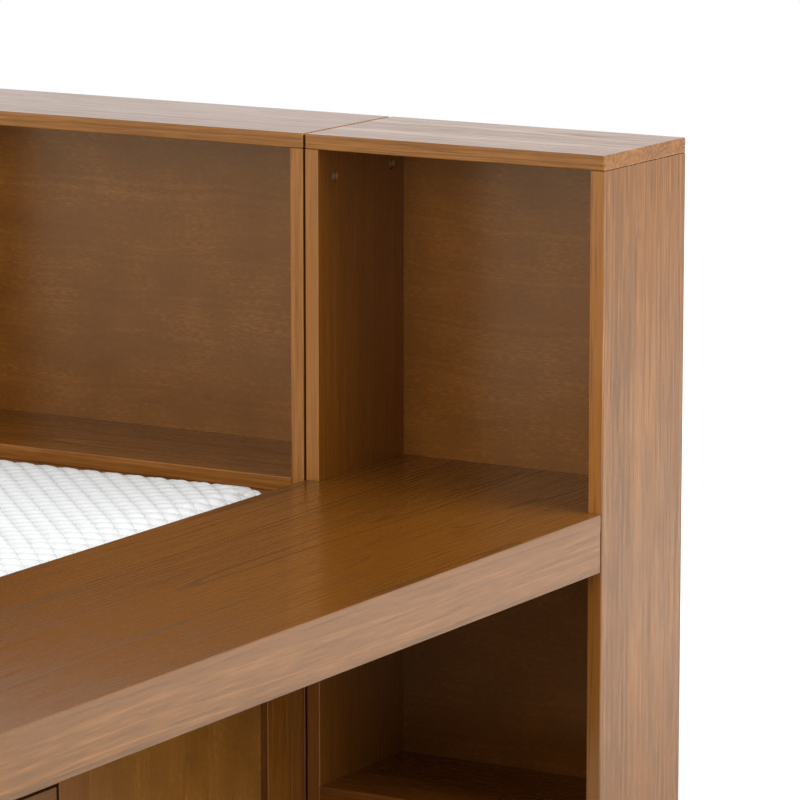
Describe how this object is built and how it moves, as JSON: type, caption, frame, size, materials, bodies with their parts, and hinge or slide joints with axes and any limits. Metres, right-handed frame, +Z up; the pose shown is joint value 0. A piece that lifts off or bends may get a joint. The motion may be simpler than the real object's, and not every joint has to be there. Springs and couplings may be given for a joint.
{
  "type": "bookcase headboard bed",
  "caption": "Full-size wooden bed with a cubby bookcase headboard, a wing case, a wrap-around side ledge, a slatted box base and under-ledge drawers.",
  "frame": {"origin": "on the floor under the middle of the whole bed's box", "axes": "+Y from the foot end towards the back of the headboard, +X towards the side with the ledge and drawers, +Z up"},
  "size_m": [1.844, 2.163, 0.937],
  "materials": {
    "stained_pine": "satin",
    "stained_plywood": "satin",
    "natural_pine": "matte",
    "natural_plywood": "matte",
    "zinc_plated_steel": "satin",
    "knit_cover": "matte"
  },
  "bodies": {
    "bed": {"beam_legs": "natural_pine", "bed_bolts": "zinc_plated_steel", "case_bolts": "zinc_plated_steel", "case_sleeve_nuts": "zinc_plated_steel", "centre_beam": "natural_pine", "drawer_bay_back": "natural_plywood", "drawer_partitions": "natural_pine", "drawer_runners": "natural_pine", "foot_bottom_rail": "stained_pine", "foot_panel": "stained_plywood", "foot_stiles": "stained_pine", "foot_top_rail": "stained_pine", "head_rail": "stained_pine", "ledge_apron": "stained_pine", "ledge_battens": "natural_pine", "ledge_foot_gable": "stained_pine", "ledge_side_cleat": "natural_pine", "ledge_top_board": "stained_pine", "left_bottom_rail": "stained_pine", "left_foot_stile": "stained_pine", "left_head_stile": "stained_pine", "left_mid_stile": "stained_pine", "left_side_panels": "stained_plywood", "left_top_rail": "stained_pine", "main_back_panel": "stained_plywood", "main_bottom_board": "stained_pine", "main_divider": "stained_pine", "main_left_side": "stained_pine", "main_plinth": "stained_pine", "main_right_side": "stained_pine", "main_shelf": "stained_pine", "main_stretcher": "stained_pine", "main_top_board": "stained_pine", "mattress": "knit_cover", "right_drawer_bottom_rail": "stained_pine", "right_drawer_post": "stained_pine", "right_drawer_top_rail": "stained_pine", "right_foot_stile": "stained_pine", "right_head_bottom_rail": "stained_pine", "right_head_stile": "stained_pine", "right_head_top_rail": "stained_pine", "right_mid_stile": "stained_pine", "right_side_panel": "stained_plywood", "slat_cleats": "natural_pine", "slats": "natural_pine", "wing_back_panel": "stained_plywood", "wing_bottom_shelf": "stained_pine", "wing_inner_side": "stained_pine", "wing_ledge_cleats": "stained_pine", "wing_outer_side": "stained_pine", "wing_plinth": "stained_pine", "wing_top_board": "stained_pine"},
    "head_drawer": {"head_drawer_front": "stained_pine", "head_drawer_sides": "natural_pine", "head_drawer_back": "natural_pine", "head_drawer_bottom": "natural_plywood"},
    "foot_drawer": {"foot_drawer_front": "stained_pine", "foot_drawer_sides": "natural_pine", "foot_drawer_back": "natural_pine", "foot_drawer_bottom": "natural_plywood"}
  },
  "joints": [
    {"name": "head_drawer_slide", "type": "slide", "parent": "bed", "child": "head_drawer", "axis": [1, 0, 0], "range_m": [0, 0.36]},
    {"name": "foot_drawer_slide", "type": "slide", "parent": "bed", "child": "foot_drawer", "axis": [1, 0, 0], "range_m": [0, 0.36]}
  ]
}
